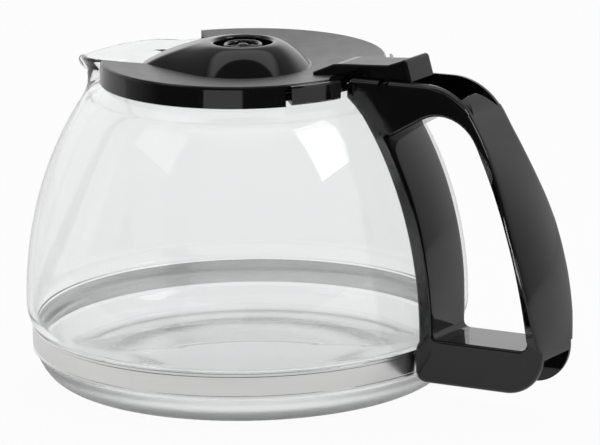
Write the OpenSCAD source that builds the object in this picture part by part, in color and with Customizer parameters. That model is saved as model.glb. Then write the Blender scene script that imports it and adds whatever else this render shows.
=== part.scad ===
// Glass coffee jug for a drip coffee maker: a blown glass vessel with a steel band
// round its foot, a moulded D handle, a neck collar and a hinged lid.
// Millimetres. The vessel's axis is Z, its resting face is z = 0, the handle is
// towards +X and the spout towards -X.

/* [Glass] */
// Largest outer radius of the vessel
belly_r = 76; // [70:0.5:80]
// Height of the largest radius above the band
belly_rise = 6.8; // [6:0.2:9]
// Height at which the belly would close to a point, as a share of the rim's height above the largest radius
belly_close_share = 1.2546; // [1.2:0.01:1.32]
// Thickness of the glass wall
glass_t = 2; // [1.6:0.1:2.4]
// Thickness of the glass floor
floor_t = 4; // [3:0.2:6]
// Outer radius of the neck
neck_r = 44.8; // [43:0.2:46]
// Height of the rim
rim_z = 107.5; // [106.8:0.1:108.2]
// How far the rim turns outwards past the neck
rim_flare = 1.2; // [0.8:0.1:1.6]
// How far the pouring lip stands out past the neck
spout_out = 25.2; // [21:0.2:29]
// Half width of the spout where it leaves the neck
spout_half = 18.8; // [16:0.2:20]

/* [Base band] */
// How far the band's outside lies inside the largest radius of the glass
band_inset = 1.7; // [1.2:0.1:3]
// Height of the lower edge of the band
band_z = 10.6; // [9.6:0.2:11.4]
// Width of the band
band_w = 8.4; // [7.5:0.1:8.6]
// Thickness of the band
band_t = 0.6; // [0.5:0.1:0.8]

/* [Handle] */
// Half width of the handle over its two cheeks
handle_half = 10.6; // [9.6:0.1:11.6]
// Thickness of each cheek
cheek_t = 2.6; // [2.2:0.1:3]
// Wall round the finger opening
web_t = 2.5; // [2:0.1:2.8]
// Radius on the outside edges
edge_r = 1.8; // [1:0.1:2.2]
// Height of the top edge above the hinge
arm_rise = 3; // [2.6:0.1:3.6]
// Radius where the handle turns down from its top arm
bend_r = 22; // [20:0.5:24]
// Height of the lowest point of the grip
heel_low = 9.73; // [6:0.1:12]
// Radius of the lower outside corner
heel_r = 14.4; // [12:0.2:15]
// Depth of the leg that lies along the glass
leg_d = 5.6; // [5:0.1:6.4]
// Clearance between the handle's leg and the glass
glass_gap = 0.7; // [0.5:0.1:1.2]

/* [Hinge] */
// Distance from the neck's outside to the hinge
hinge_out = 18.4; // [17.8:0.1:19.2]
// Depth of the hinge below the rim
hinge_drop = 0.1; // [0:0.1:0.5]
// Radius of the lid's pivot stubs
stub_r = 1.9; // [1.6:0.1:2.1]
// Radial clearance of the stubs in their seats
stub_gap = 0.1; // [0.05:0.05:0.2]

/* [Lid] */
// How far the foot of the lid's skirt stands out past the neck
lid_out = 4.2; // [3.8:0.1:4.6]
// Height of the lid's outer top edge above the rim
lid_rise = 2.3; // [2:0.1:2.7]
// Wall thickness of the lid
lid_t = 1.6; // [1.3:0.1:1.8]
// How far the lid's top is dished at the foot of the dome
dish_d = 2.8; // [2:0.1:3.2]
// Radius of the dome's foot on the handle side
dome_r = 23.2; // [21:0.2:25]
// Height of the dome's crown above the lid's outer edge
dome_rise = 5.2; // [4:0.2:6.4]
// Radius of the recess in the crown
well_r = 9.9; // [9:0.1:11]
// Half width of the thumb lever
lever_half = 7.2; // [6:0.1:7.4]
// Angle from the handle to the ends of the skirt
skirt_end = 143; // [138:1:146]

/* [Hidden] */
$fn = 96;
// Overrun of every cut past the face that it opens
over = 1;
// Thickness of the thin slices that a blend is drawn between
slice = 0.02;
// Facets on the round parts of a blend
blend_fn = 32;
// Share of a rounded edge's radius that its cutter runs past the solid
lead_share = 0.3;

// Points of a list moved so that they start from x and z
function at(x, z, p) = [for (q = p) [x + q[0], z + q[1]]];

// Glass: foot, shoulder and rim
band_r = belly_r - band_inset;
seat_gap = 0.05;
seat_r = band_r - band_t - seat_gap;
seat_over = 0.4;
foot_inset = 10.65;
foot_r = seat_r - foot_inset;
foot_w = 10;
groove_w = 19;
groove_d = 1;
groove_out = foot_r - foot_w;
groove_in = groove_out - groove_w;
heel_inset = 3.85;
heel_x = seat_r - heel_inset;
heel_drop = 0.6;
heel_z = band_z - heel_drop;
band_top = band_z + band_w;
belly_z = band_top + belly_rise;
belly_h = belly_close_share * (rim_z - belly_z);
step_inset = 0.4;
step_x = belly_r - step_inset;
floor_bend = 11.65;
floor_r = seat_r - glass_t - floor_bend;
floor_corner_z = band_top;
shoulder_drop = 9.5;
shoulder_z = rim_z - shoulder_drop;
shoulder_lean = [4, -4.9];
shoulder_ctl = [neck_r, rim_z] + shoulder_lean;
neck_h = 3.5;
neck_z = rim_z - neck_h;
rim_h = 1.3;
rim_lead = 0.4;
lip_drop = 3.1;
lip_round = 2.3;
lip_low = 7.2;
lip_z = rim_z - lip_low;
spout_reach = neck_r + spout_out;
beak_r = 4;
beak_back = 6.5;
beak_x = spout_reach - beak_back;
spout_start = 1.2;
spout_x = neck_r + spout_start;
spout_root_in = [-4.8, -14];
spout_root = [neck_r, rim_z] + spout_root_in;
spout_root_r = 15;

// Clamp that draws the band's ends into the handle
clamp_z = band_z + band_w / 2;
tab_half = 3;
tab_out = 8;
tab_reach = belly_r + tab_out;
tab_flange = 3.4;
tab_neck_out = 2;
tab_neck = belly_r + tab_neck_out;
tab_h = 5;
nut_t = 2.6;
nut_half = 6.4;
nut_h = 8.4;
nut_gap = 0.1;
screw_r = 2;
screw_head_r = 3.9;
screw_head_h = 2.6;
screw_gap = 0.2;
screw_tip = 4;
drive_w = 1;
drive_d = 1.4;

// Hinge
hinge_x = neck_r + hinge_out;
hinge_z = rim_z - hinge_drop;

// Handle: turtle path of the outline, angles below the horizontal
arm_z = hinge_z + arm_rise;
arm_tilt = 2;
bend_turn = 58;
grip_turn = 84;
bend_out = 2.5;
arm_reach = 13;
bend_x = max(belly_r + bend_out, hinge_x + arm_reach);
grip_r = (arm_z - heel_low - bend_r * (cos(arm_tilt) - cos(bend_turn))
    - heel_r * (cos(grip_turn) + cos(arm_tilt))) / (cos(bend_turn) - cos(grip_turn));
toe_out = 2.5;
toe_x = belly_r + toe_out;
toe_r = 3.8;
nose_out = 3.3;
nose_x = neck_r + nose_out;
nose_low_out = [6.5, -7.3];
nose_low = [neck_r, rim_z] + nose_low_out;
nose_foot_out = [0.2, -4.8];
nose_foot = [nose_x, rim_z] + nose_foot_out;
nose_top_out = [0.9, 0.5];
nose_top = [nose_x, rim_z] + nose_top_out;
arm_back = 2.7;
arm_x = nose_x + arm_back;
front_gap = 0.4;
step_up = 1;
step_h = 2.8;
step_low = band_top + step_up;
step_high = step_low + step_h;
leg_drop = 10.5;
leg_top = rim_z - leg_drop;
leg_gap = glass_gap + leg_d;
ceiling_back = 0.5;
arm_d = 12;
ceiling_pt = [bend_x - ceiling_back, arm_z - arm_d];
ceiling_turn = 29.6;
ceiling_r = 15;
ceiling_w = 12.6;
ceiling_x = ceiling_pt[0] - ceiling_w;
window_low = 25.223;
window_low_r = 3;
window_r = (ceiling_pt[1] - window_low - ceiling_r * (cos(ceiling_turn) - cos(bend_turn + 4))
    - window_low_r * (cos(grip_turn) + cos(arm_tilt))) / (cos(bend_turn + 4) - cos(grip_turn));
window_low_out = 7.6;
window_low_x = belly_r + window_low_out;
window_round = 1.2;
inner_half = handle_half - cheek_t;
strap_shelf_out = [[7.5, -7.5], [11.5, -7], [16.9, -7.2]];
strap_shelf = at(bend_x, arm_z, strap_shelf_out);
strap_foot_out = 45.5;
strap_foot_t = 5.4;
strap_foot = [bend_x + strap_foot_out, step_high];
strap_foot_in = strap_foot[0] - strap_foot_t;
nose_wall_in = 0.8;
nose_wall_t = 2.3;
nose_wall = [nose_x + nose_wall_in, nose_x + nose_wall_in + nose_wall_t];
nose_wall_drops = [4.9, 6.3];
nose_wall_low = [for (d = nose_wall_drops) rim_z - d];
nose_wall_drop = 1.2;
nose_wall_z = rim_z - nose_wall_drop;
boss_out = 16;
boss_x = belly_r + boss_out;
boss_t = 3.5;
boss_low = 4.8;
boss_z = clamp_z - boss_low;

// Neck collar
collar_gap = 0.3;
collar_in = neck_r + collar_gap;
collar_t = 1.8;
collar_out = collar_in + collar_t;
collar_drop = 1.8;
collar_h = 1.5;
collar_top = rim_z - collar_drop;
collar_low = collar_top - collar_h;
collar_end = 138;
ear_step = 0.5;
ear_d = 3.6;
ear_in = collar_out + ear_step;
ear_out = ear_in + ear_d;
hook_lip = 1.1;
ear_low = collar_low - hook_lip;
ear_rise = 1.9;
ear_top = rim_z + ear_rise;
ear_lip_t = 1.2;
ear_lip = ear_out - ear_lip_t;
ear_start = 16;
ear_end = 37;
ear_gap = 0.35;
hook_edge = 0.6;
collar_back = 0.4;
collar_face = collar_out + collar_back;
lug_half = 2.2;
lug_head_half = 4.2;
lug_gap = 0.25;
lug_play = 0.3;
lug_head_t = 1.5;
lug_neck = nose_wall[1] + lug_play;
lug_tip = lug_neck + lug_head_t;

// Lid
lid_r = neck_r + lid_out;
lid_z = rim_z + lid_rise;
dome_z = lid_z + dome_rise;
skirt_draft = 0.5;
skirt_drop = 5.1;
skirt_low = rim_z - skirt_drop;
skirt_t = 1.5;
skirt_bevel = 1.2;
skirt_start = 38.6;
lid_round = 1.2;
plug_gap = 0.6;
plug_r = neck_r - glass_t - plug_gap;
plug_t = 1.4;
plug_drop = 6;
plug_low = rim_z - plug_drop;
nose_inset = 7.9;
nose_r = plug_r - nose_inset;
nose_lap = 2;
nose_half_a = 180 - skirt_end + nose_lap;
nose_edge_drop = 0.1;
nose_edge_z = rim_z - nose_edge_drop;
nose_edge_h = 1;
corner_r = 2.5;
notch_out = [[1.4, 17], [-2.8, 9]];
notch = at(neck_r, 0, notch_out);
under_rise = 0.5;
under_z = rim_z + under_rise;
plug_in = 0.6;
plug_end = skirt_end - 1.5;
web_inset = 2.5;
web_r = lid_r - web_inset;
crown_w = 2.5;
dome_steps_in = [[-3.3, -4.6], [-7.4, -1.6]];
dome_steps = concat(at(dome_r, dome_z, dome_steps_in), [[well_r + crown_w, dome_z]]);
well_d = 6.4;
well_floor = dome_z - well_d;
well_round = 0.5;
lever_t = 1.8;
lever_tip_out = [-30.2, 2];
lever_knee_out = [-21.9, 5.5];
lever_top_out = [[-16.2, 6.1], [-0.2, 7.4], [5, 9.4], [6.6, 9.8], [7.2, 9]];
lever_back_out = [[9.2, 2.2], [7.2, -0.6], [3.4, -2.8]];
lever_front_out = [[-3.4, -2.8], [-9.2, -2], [-10.4, 0.5]];
lever_tip = [hinge_x, hinge_z] + lever_tip_out;
lever_knee = [hinge_x, hinge_z] + lever_knee_out;
lever_top = at(hinge_x, hinge_z, lever_top_out);
lever_back = at(hinge_x, hinge_z, lever_back_out);
lever_front = at(hinge_x, hinge_z, lever_front_out);
boss_r = 3;
boss_gap = 0.3;
stub_end = 0.3;

// Inlet wheel
wheel_r = 6.8;
wheel_w = 1.5;
wheel_drop = 0.6;
wheel_top = dome_z - wheel_drop;
wheel_h = 2.4;
spoke_w = 1.5;
spoke_h = 1.6;
spoke_turn = 5;
hub_r = 2;
stem_r = 1.4;
stem_gap = 0.05;
drip_in = 3.6;
drip_out = 8;
drip_bar_a = 12;

// Curves that the outlines are drawn with

// Point on an arc of radius r that starts at p heading a0 and ends heading a1
function arc(p, r, a0, a1, n) =
    [for (i = [1:n]) let (a = a0 + (a1 - a0) * i / n) p + r * [sin(a) - sin(a0), cos(a) - cos(a0)]];
// Quadratic curve from a to b that leans towards c
function bend(a, c, b, n) =
    [for (i = [0:n]) let (t = i / n) (1 - t) * (1 - t) * a + 2 * t * (1 - t) * c + t * t * b];
function last(p) = p[len(p) - 1];
function unit(v) = v / norm(v);
// Clockwise outline moved outwards by d, corner by corner
function grow(p, d) = let (n = len(p)) [for (i = [0:n - 1])
    let (a = unit(p[i] - p[(i + n - 1) % n]), b = unit(p[(i + 1) % n] - p[i]))
    p[i] + d * [-a[1] - b[1], a[0] + b[0]] / (1 + a * b)];
function polar(r, a) = [r * cos(a), r * sin(a)];
function sector(r, a0, a1, n = 24) = concat([[0, 0]], [for (i = [0:n]) polar(r, a0 + (a1 - a0) * i / n)]);
// Radius of the belly at a height, with the wall moved outwards by d
function belly(z, d = 0) = (belly_r + d) * sqrt(1 - pow((z - belly_z) / (belly_h + d), 2));

glass_outside = concat(
    [[0, 0], [groove_in, 0], [groove_in + groove_d, groove_d],
     [groove_out - groove_d, groove_d], [groove_out, 0]],
    bend([foot_r, 0], [heel_x, 0], [seat_r - seat_over, heel_z], 8),
    [[seat_r, band_z - seat_over], [seat_r, band_z + band_w + seat_over]],
    bend([seat_r + seat_over, band_z + band_w + seat_over], [step_x, band_z + band_w + 2 * seat_over],
         [belly_r, belly_z], 5),
    [for (i = [1:12]) let (z = belly_z + (shoulder_z - belly_z) * i / 13) [belly(z), z]],
    bend([belly(shoulder_z), shoulder_z], shoulder_ctl, [neck_r, neck_z], 7),
    [[neck_r, rim_z - rim_h - rim_lead]],
    bend([neck_r + rim_flare, rim_z - rim_h], [neck_r + rim_flare, rim_z],
         [neck_r + rim_flare - rim_h, rim_z], 4),
    [[0, rim_z]]);

glass_inside = concat(
    [[0, floor_t]],
    bend([floor_r, floor_t], [seat_r - glass_t, floor_t], [seat_r - glass_t, floor_corner_z], 8),
    [for (i = [0:12]) let (z = belly_z + (shoulder_z - belly_z) * i / 13) [belly(z, -glass_t), z]],
    bend([belly(shoulder_z, -glass_t), shoulder_z - glass_t / 2],
         shoulder_ctl - [1.2 * glass_t, glass_t], [neck_r - glass_t, neck_z - glass_t / 2], 7),
    [[neck_r - glass_t, rim_z - 2 * rim_h], [neck_r - glass_t + rim_flare / 2, rim_z],
     [neck_r - glass_t + rim_flare / 2, rim_z + over], [0, rim_z + over]]);

// Solid scoop of the spout, drawn in from its outside by d
module spout(d, up) {
    hull() {
        translate([-spout_x, 0, rim_z - slice])
            cylinder(r = spout_half - d, h = slice + up, $fn = blend_fn);
        translate([-beak_x, 0, rim_z - lip_drop - slice])
            cylinder(r = beak_r - d / 2, h = slice + up, $fn = blend_fn);
        translate([-spout_root[0] + d / 2, 0, spout_root[1] + d])
            cylinder(r = spout_root_r - d / 2, h = slice, $fn = blend_fn);
        translate([-spout_reach + lip_round + 0.8 * d, 0, lip_z + 1.1 * d])
            sphere(r = lip_round - d / 4, $fn = blend_fn);
    }
}

module glass_vessel() {
    color([0.9, 0.94, 0.95, 0.35]) difference() {
        union() {
            rotate_extrude() polygon(glass_outside);
            spout(0, 0);
        }
        rotate_extrude() polygon(glass_inside);
        spout(glass_t, over);
    }
}

// Steel strip round the foot; its two ends run out into the handle and turn apart
module base_band() {
    color("silver") {
        difference() {
            translate([0, 0, band_z]) cylinder(r = band_r, h = band_w);
            translate([0, 0, band_z - over]) cylinder(r = band_r - band_t, h = band_w + 2 * over);
            translate([0, -tab_half + band_t, band_z - over])
                cube([2 * band_r, 2 * (tab_half - band_t), band_w + 2 * over]);
        }
        for (s = [-1, 1]) translate([0, s * (tab_half - band_t / 2), 0]) {
            translate([band_r - band_t, -band_t / 2, band_z])
                cube([tab_neck - band_r + band_t, band_t, band_w]);
            translate([band_r, -band_t / 2, clamp_z - tab_h / 2]) cube([tab_reach - band_r, band_t, tab_h]);
            translate([tab_reach - band_t, s > 0 ? -band_t / 2 : -tab_flange + band_t / 2,
                clamp_z - tab_h / 2]) cube([band_t, tab_flange, tab_h]);
        }
    }
}

// Plate that the band's two ends hook behind, tapped for the screw
module clamp_nut() {
    x0 = tab_reach - band_t - nut_gap - nut_t;
    slot_w = band_t + 2 * nut_gap;
    color("gray") difference() {
        translate([x0, -nut_half, clamp_z - nut_h / 2]) cube([nut_t, 2 * nut_half, nut_h]);
        for (s = [-1, 1])
            translate([x0 - over, s * (tab_half - band_t / 2) - slot_w / 2, clamp_z - tab_h / 2 - nut_gap])
                cube([nut_t + 2 * over, slot_w, tab_h + 2 * nut_gap]);
        translate([x0 - over, 0, clamp_z]) rotate([0, 90, 0]) cylinder(r = screw_r, h = nut_t + 2 * over);
    }
}

// Screw that draws the plate, and with it the band, towards the handle
module clamp_screw() {
    head_x = boss_x + boss_t;
    tip_x = tab_reach - band_t - nut_gap - nut_t - screw_tip;
    color("dimgray") difference() {
        union() {
            translate([tip_x, 0, clamp_z]) rotate([0, 90, 0])
                cylinder(r = screw_r - nut_gap / 2, h = head_x - tip_x);
            translate([head_x, 0, clamp_z]) rotate([0, 90, 0]) cylinder(r = screw_head_r, h = screw_head_h);
        }
        for (a = [0, 90]) translate([head_x + screw_head_h - drive_d, 0, clamp_z]) rotate([a, 0, 0])
            translate([0, -screw_head_r / 2, -drive_w / 2]) cube([drive_d + over, screw_head_r, drive_w]);
    }
}

// Outer outline of the handle in X and Z, clockwise from the front of its top arm
bend_start = [bend_x, arm_z];
bend_end = last(arc(bend_start, bend_r, -arm_tilt, bend_turn, 1));
grip_end = last(arc(bend_end, grip_r, bend_turn, grip_turn, 1));
heel_end = last(arc(grip_end, heel_r, grip_turn, 180 - arm_tilt, 1));
toe_start = [toe_x, heel_end[1] - (heel_end[0] - toe_x) * tan(arm_tilt)];
front_x = band_r + front_gap;
function along_glass(z, gap) = sqrt(pow(belly(z) + gap, 2) - pow(handle_half, 2));
handle_outline = concat(
    [nose_top, [arm_x, arm_z - (bend_x - arm_x) * tan(arm_tilt)], bend_start],
    arc(bend_start, bend_r, -arm_tilt, bend_turn, 10),
    arc(bend_end, grip_r, bend_turn, grip_turn, 8),
    arc(grip_end, heel_r, grip_turn, 180 - arm_tilt, 8),
    [toe_start],
    arc(toe_start, toe_r, 180 - arm_tilt, 270, 4),
    [[toe_start[0] - toe_r, step_low], [along_glass(step_high, glass_gap), step_high]],
    [for (i = [1:12]) let (z = step_high + (leg_top - step_high) * i / 12) [along_glass(z, glass_gap), z]],
    [nose_low, nose_foot, [nose_x, nose_foot[1] + edge_r]]);

// Finger opening, clockwise from the foot of its sloping ceiling
ceiling_start = [ceiling_x, ceiling_pt[1] - (ceiling_pt[0] - ceiling_x) * tan(ceiling_turn)];
ceiling_end = last(arc(ceiling_pt, ceiling_r, -ceiling_turn, bend_turn + 4, 1));
window_end = last(arc(ceiling_end, window_r, bend_turn + 4, grip_turn, 1));
window_heel = last(arc(window_end, window_low_r, grip_turn, 180 - arm_tilt, 1));
window_toe = [window_low_x, window_heel[1] - (window_heel[0] - window_low_x) * tan(arm_tilt)];
window_outline = concat(
    [ceiling_start, ceiling_pt],
    arc(ceiling_pt, ceiling_r, -ceiling_turn, bend_turn + 4, 10),
    arc(ceiling_end, window_r, bend_turn + 4, grip_turn, 6),
    arc(window_end, window_low_r, grip_turn, 180 - arm_tilt, 4),
    [window_toe],
    [for (i = [0:9]) let (z = window_toe[1] + window_low_r / 2
        + (ceiling_start[1] - window_toe[1] - 2 * window_low_r / 2) * i / 9) [along_glass(z, leg_gap), z]]);

// What is cut off an outline's edge to round it. The solid is inside the outline for side -1
// and outside it, as round the finger opening, for side 1.
module edge_cut(outline, r, side) {
    n = len(outline);
    p = [for (t = [0:30:90]) [side * r * (1 - cos(t)), handle_half - r * (1 - sin(t))]];
    section = [p[0] + lead_share * (p[0] - p[1]), p[1], p[2], p[3] + lead_share * (p[3] - p[2]),
               [-side * r * lead_share, handle_half + r * lead_share]];
    k = len(section);
    points = [for (q = section, c = grow(outline, q[0])) [c[0], q[1], c[1]]];
    faces = [for (a = [0:k - 1], i = [0:n - 1]) let (b = (a + 1) % k, j = (i + 1) % n)
        side > 0 ? [a * n + i, b * n + i, b * n + j, a * n + j]
                 : [a * n + j, b * n + j, b * n + i, a * n + i]];
    for (far = [0, 1]) mirror([0, far, 0]) polyhedron(points, faces, convexity = 8);
}

module between_cheeks(half) {
    translate([0, half, 0]) rotate([90, 0, 0]) linear_extrude(2 * half) children();
}

module handle() {
    seat = stub_r + stub_gap;
    color([0.09, 0.09, 0.1]) difference() {
        between_cheeks(handle_half) polygon(handle_outline);
        edge_cut(handle_outline, edge_r, -1);
        // Finger opening
        between_cheeks(handle_half + over) polygon(window_outline);
        edge_cut(window_outline, window_round, 1);
        // Hollow between the cheeks, all round the wall of the finger opening
        between_cheeks(inner_half) difference() {
            polygon(grow(handle_outline, 2 * over));
            polygon(grow(window_outline, web_t));
            polygon(concat(strap_shelf, [[strap_foot[0] + 3 * over, strap_shelf[2][1]],
                [strap_foot[0] + 3 * over, strap_foot[1]], strap_foot,
                [strap_foot_in, window_toe[1] - web_t], [window_heel[0], window_heel[1]], window_end,
                ceiling_end, [strap_shelf[0][0], ceiling_pt[1]]]));
            // Wall behind the collar
            polygon([[nose_wall[0], nose_wall_low[0]], [nose_wall[0], nose_wall_z],
                [nose_wall[1], nose_wall_z], [nose_wall[1], nose_wall_low[1]]]);
            // Wall that the clamp screw pulls against
            polygon([[boss_x, boss_z], [boss_x, window_toe[1]], [boss_x + boss_t, window_toe[1]],
                [boss_x + boss_t, boss_z]]);
        }
        // Seats of the lid's pivot stubs, open at the top
        translate([hinge_x, handle_half + over, hinge_z]) rotate([90, 0, 0])
            cylinder(r = seat, h = 2 * (handle_half + over));
        translate([hinge_x - seat, -handle_half - over, hinge_z])
            cube([2 * seat, 2 * (handle_half + over), arm_z - hinge_z + over]);
        // Slot for the collar's lug
        translate([nose_wall[0] - over, -lug_half - lug_gap, collar_low - lug_gap])
            cube([nose_wall[1] - nose_wall[0] + 2 * over, 2 * (lug_half + lug_gap), arm_z]);
        // Hole for the clamp screw
        translate([boss_x - over, 0, clamp_z]) rotate([0, 90, 0])
            cylinder(r = screw_r + screw_gap, h = boss_t + 2 * over);
    }
}

// Ring of a rectangular section, cut to the sector that children leave
module ring(r0, r1, z0, z1) {
    rotate_extrude() translate([r0, z0]) square([r1 - r0, z1 - z0]);
}
module wedge(a0, a1, z0, z1) {
    translate([0, 0, z0]) linear_extrude(z1 - z0) polygon(sector(2 * lid_r, a0, a1));
}

// Plan of the collar's corner between the lid's notch and the handle
module corner_plan(s) {
    polygon([[notch[1][0] + hook_edge, s * (lever_half + hook_edge)],
        [notch[1][0] + hook_edge, s * (notch[1][1] + hook_edge / 2)],
        [notch[0][0] + hook_edge, s * notch[0][1]],
        polar(ear_out - hook_edge, s * (ear_start + 5)), polar(ear_out - hook_edge, s * (ear_start + 1)),
        [collar_face, s * handle_half], [collar_face, s * (lever_half + hook_edge)]]);
}

module neck_collar() {
    lug_z = collar_low;
    lug_h = collar_top - collar_low;
    color([0.1, 0.1, 0.11]) difference() {
        union() {
            intersection() {
                ring(collar_in, collar_out, collar_low, collar_top);
                wedge(-collar_end, collar_end, collar_low - over, collar_top + over);
            }
            for (s = [-1, 1]) {
                // Ear beside the handle
                intersection() {
                    rotate_extrude() polygon([[collar_in, collar_low],
                        [ear_in, ear_low + (collar_low - ear_low) / 2],
                        [ear_out - hook_edge, ear_low], [ear_out, ear_low + hook_edge],
                        [ear_out, ear_top - hook_edge], [ear_out - hook_edge, ear_top], [ear_lip, ear_top],
                        [ear_lip, under_z - ear_gap], [ear_in, under_z - ear_gap],
                        [ear_in, collar_top], [collar_in, collar_top]]);
                    translate([0, 0, ear_low - over]) linear_extrude(ear_top - ear_low + 2 * over)
                        polygon([[0, 0], polar(2 * ear_out, s * ear_start),
                            polar(2 * ear_out, s * ear_end)]);
                }
                // Corner that closes the gap between the lid's notch and the handle
                translate([0, 0, rim_z + collar_gap])
                    linear_extrude(ear_top - rim_z - collar_gap) corner_plan(s);
                intersection() {
                    ring(neck_r + rim_flare + collar_gap, ear_out + over,
                         collar_low + hook_edge, ear_top - hook_edge);
                    translate([0, 0, collar_low]) linear_extrude(ear_top - collar_low) corner_plan(s);
                }
            }
            // Lug that hooks behind the handle's front wall
            translate([collar_in, -lug_half, lug_z]) cube([lug_tip - collar_in, 2 * lug_half, lug_h]);
            translate([lug_neck, -lug_head_half, lug_z])
                cube([lug_tip - lug_neck, 2 * lug_head_half, lug_h]);
        }
        // Inner face of the collar
        translate([0, 0, collar_low - 2 * over])
            cylinder(r = collar_in, h = collar_top - collar_low + 2 * over);
    }
}

// Outline of the lid's plate: a C that is open at the spout and notched at the lever
function lid_plan(r, end) = let (
    turn = asin(corner_r / (r - corner_r)),
    c = polar(r - corner_r, end - turn),
    side = concat([for (i = [0:20]) polar(r, skirt_start / 2 + (end - turn - skirt_start / 2) * i / 20)],
        [for (i = [1:4]) c + polar(corner_r, end - turn + 90 * i / 4)], [polar(dome_r - lid_t, end)]))
    concat(side, [for (i = [1:7]) polar(dome_r - 2 * lid_t, end + (360 - 2 * end) * i / 8)],
        [for (i = [len(side) - 1:-1:0]) [side[i][0], -side[i][1]]],
        [[notch[0][0], -notch[0][1]], [notch[1][0], -notch[1][1]], notch[1], notch[0]]);

dish_z = lid_z - dish_d;
lid_top_r = lid_r - skirt_draft;

// Dome, drawn in from its outside by d
module dome(d) {
    hull() {
        translate([0, 0, dish_z - slice - d]) cylinder(r = dome_r - d, h = slice, $fn = 2 * blend_fn);
        for (s = dome_steps) translate([0, 0, s[1] - slice - d])
            cylinder(r = s[0] - d / 2, h = slice, $fn = 2 * blend_fn);
        translate([0, 0, nose_edge_z - nose_edge_h - d]) linear_extrude(nose_edge_h)
            polygon(sector(nose_r - d, 180 - nose_half_a, 180 + nose_half_a, 10));
    }
}

// Plan of the wall that hangs inside the neck and crosses it behind the spout
module plug_plan() {
    difference() {
        union() {
            circle(r = nose_r - plug_in);
            polygon(sector(plug_r, -plug_end, plug_end, 48));
        }
        circle(r = nose_r - plug_in - plug_t);
        intersection() {
            circle(r = plug_r - plug_t);
            polygon(sector(2 * plug_r, 2 - plug_end, plug_end - 2, 24));
        }
    }
}

module lever_side() {
    polygon(concat([lever_tip, lever_knee], lever_top, lever_back, lever_front,
        [[lever_knee[0], lever_front[2][1]], [lever_tip[0], lever_front[2][1]]]));
}
module lever_inside() {
    polygon(concat([lever_tip - [0, lever_t]],
        [for (p = concat([lever_knee], [lever_top[0], lever_top[1]])) p - [0, lever_t]],
        [lever_top[4] - [lever_t, 1.2 * lever_t], lever_back[0] - [lever_t, 0],
         lever_back[1] - [lever_t, 2 * lever_t], lever_back[1] - [0, 4 * lever_t],
         lever_tip - [0, 8 * lever_t]]));
}

module lid() {
    color([0.1, 0.1, 0.11]) difference() {
        union() {
            // Dished plate with a rounded outer edge, and the skirt outside the neck
            difference() {
                intersection() {
                    rotate_extrude() polygon(concat(
                        [[dome_r / 2, dish_z - lid_t], [dome_r / 2, dish_z - lid_t / 2], [dome_r, dish_z]],
                        bend([lid_top_r - lid_round, lid_z], [lid_top_r, lid_z],
                             [lid_top_r + skirt_draft / 6, lid_z - lid_round], 4),
                        [[lid_r, skirt_low], [lid_r - skirt_t, skirt_low + skirt_bevel],
                         [lid_top_r - skirt_t, rim_z + collar_gap], [plug_r - plug_t, rim_z + collar_gap],
                         [dome_r, dish_z - lid_t]]));
                    translate([0, 0, skirt_low - over]) linear_extrude(lid_z - skirt_low + 2 * over)
                        polygon(lid_plan(lid_r + collar_gap, skirt_end));
                }
                intersection() {
                    ring(lid_top_r - skirt_t - skirt_draft / 2, lid_r + over, skirt_low - over, under_z);
                    wedge(-skirt_start, skirt_start, skirt_low - 2 * over, under_z + over);
                }
            }
            // Webs that close the ends of the skirt
            for (s = [-1, 1]) intersection() {
                rotate([0, 0, s * (skirt_end - 1)])
                    translate([web_r, s > 0 ? -skirt_t : 0, skirt_low + 2 * skirt_bevel])
                    cube([lid_r - skirt_t - web_r + over / 2, skirt_t,
                          lid_z - lid_t - skirt_low - 2 * skirt_bevel]);
                wedge(-skirt_end, skirt_end, skirt_low, lid_z);
            }
            // Wall that hangs inside the neck
            translate([0, 0, plug_low]) linear_extrude(nose_edge_z - nose_edge_h / 4 - plug_low) plug_plan();
            translate([0, 0, plug_low]) linear_extrude(under_z + collar_gap - plug_low) intersection() {
                plug_plan();
                polygon(sector(2 * plug_r, 1 - plug_end, plug_end - 1, 24));
            }
            dome(0);
            // Thumb lever
            between_cheeks(lever_half) lever_side();
            // Pivot stubs and their shoulders
            translate([hinge_x, handle_half - stub_end, hinge_z]) rotate([90, 0, 0])
                cylinder(r = stub_r, h = 2 * (handle_half - stub_end));
            translate([hinge_x, inner_half - boss_gap, hinge_z]) rotate([90, 0, 0])
                cylinder(r = boss_r, h = 2 * (inner_half - boss_gap));
        }
        // Inside of the lever, open below
        between_cheeks(lever_half - lever_t) lever_inside();
        // Inside of the dome
        difference() {
            dome(lid_t);
            cylinder(r = well_r + lid_t, h = dome_z);
        }
        // Recess in the crown
        translate([0, 0, well_floor]) cylinder(r = well_r, h = dome_z);
        translate([0, 0, dome_z - well_round])
            cylinder(r1 = well_r, r2 = well_r + 2 * well_round, h = 2 * well_round);
        // Drip holes in the floor of the recess, and the seat of the wheel's stem
        translate([0, 0, well_floor - 3 * lid_t]) cylinder(r = stem_r + stem_gap, h = 4 * lid_t);
        for (q = [0:2]) rotate([0, 0, 120 * q + spoke_turn]) translate([0, 0, well_floor - 3 * lid_t])
            linear_extrude(4 * lid_t) difference() {
                polygon(sector(drip_out, drip_bar_a, 120 - drip_bar_a, 12));
                circle(r = drip_in);
            }
        // Open underside of the recess
        translate([0, 0, plug_low - over])
            cylinder(r = well_r + lid_t, h = well_floor - lid_t - plug_low + over);
    }
}

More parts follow.
